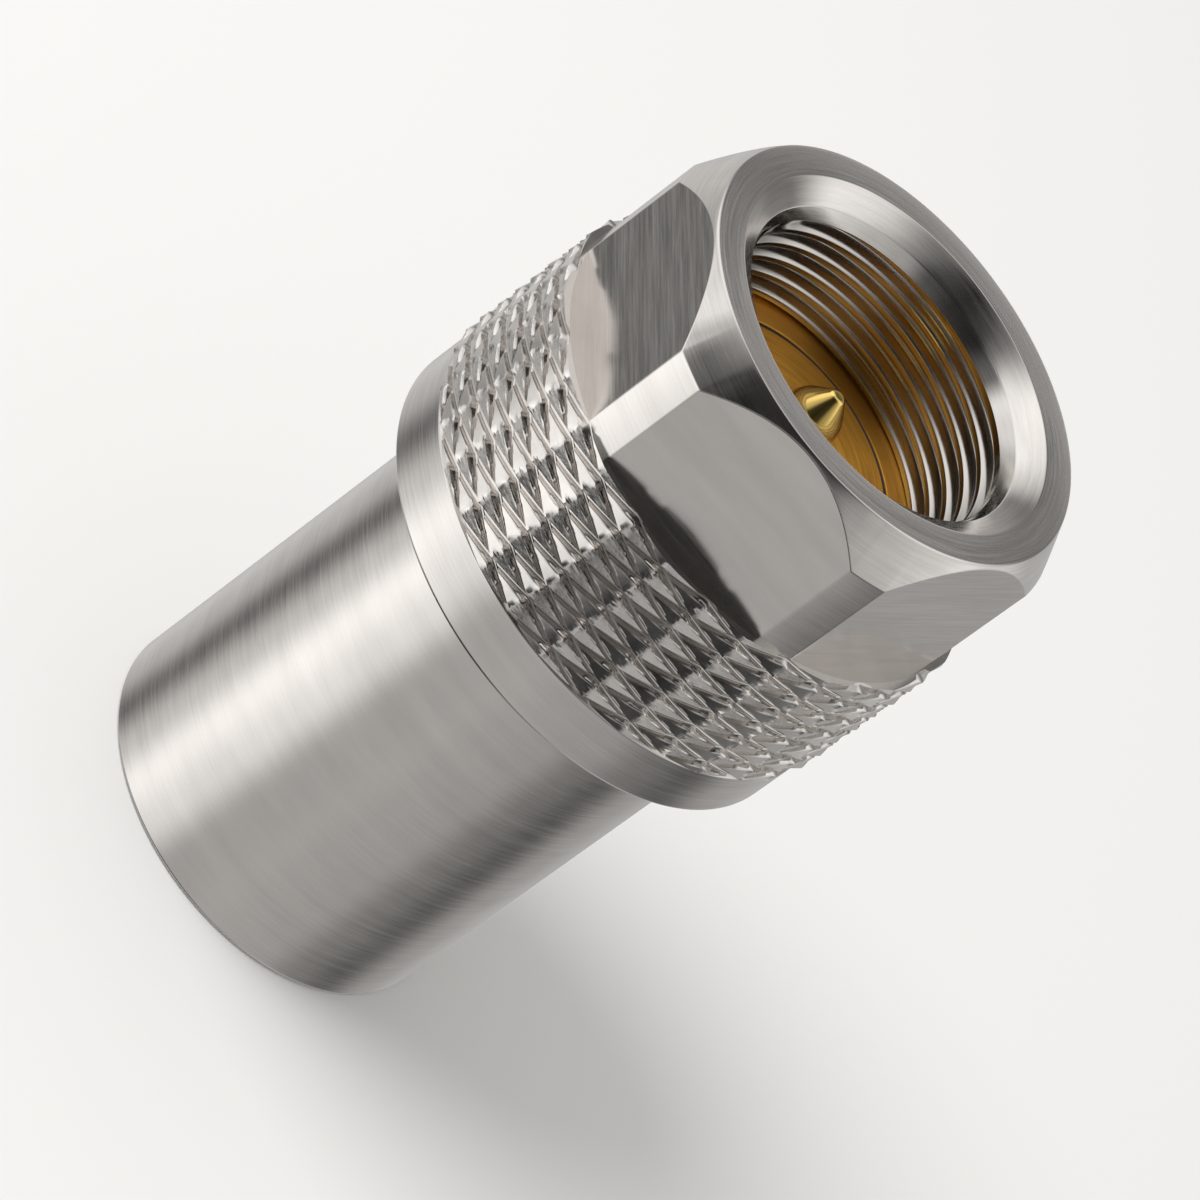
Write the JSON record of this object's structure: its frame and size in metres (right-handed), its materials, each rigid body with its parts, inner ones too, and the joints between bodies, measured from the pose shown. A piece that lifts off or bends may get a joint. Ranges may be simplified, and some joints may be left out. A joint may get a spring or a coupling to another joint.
{
  "type": "coaxial terminator",
  "caption": "Round coaxial termination with a plain brushed body, a knurled coupling nut with wrench flats that spins, and a gold centre pin inside it.",
  "frame": {"origin": "centre of the body's rear face, on which the terminator stands", "axes": "+Z along the coaxial axis, from the rear face to the mating end; one wrench flat of the nut faces -Y"},
  "size_m": [0.0242, 0.0242, 0.04],
  "materials": {
    "nut_steel": "turned and milled stainless steel, satin",
    "body_steel": "circular brushed stainless steel",
    "cap_steel": "faced stainless steel, satin",
    "contact_gold": "gold plated, turned, satin",
    "pin_gold": "gold plated, polished",
    "spring_bronze": "rolled spring bronze",
    "inner_brass": "turned brass",
    "cap_metal": "bright nickel plate",
    "seal_rubber": "black, matt",
    "amber_bead_plastic": "amber insulating plastic, turned",
    "white_bead_plastic": "white insulating plastic",
    "resistor_ceramic": "fired ceramic with a dark resistive film"
  },
  "bodies": {
    "housing": {"body_shell": "body_steel", "snap_ring": "spring_bronze", "nut_o_ring": "seal_rubber", "slip_washer": "white_bead_plastic", "outer_contact": "contact_gold", "contact_o_ring": "seal_rubber", "support_bead": "amber_bead_plastic", "bead_seal_ring": "seal_rubber", "centre_pin": "pin_gold", "rear_bead": "white_bead_plastic", "resistor_front_cap": "cap_metal", "resistor_rod": "resistor_ceramic", "resistor_rear_cap": "cap_metal", "taper_sleeve": "inner_brass", "ground_plug": "inner_brass", "spring_washer": "spring_bronze", "retaining_ring": "inner_brass", "rear_cap": "cap_steel", "cap_o_ring": "seal_rubber"},
    "nut": {"coupling_nut": "nut_steel"}
  },
  "joints": [
    {"name": "nut_spin", "type": "hinge", "parent": "housing", "child": "nut", "pos_m": [0, 0, 0.03], "axis": [0, 0, 1], "continuous": true}
  ]
}
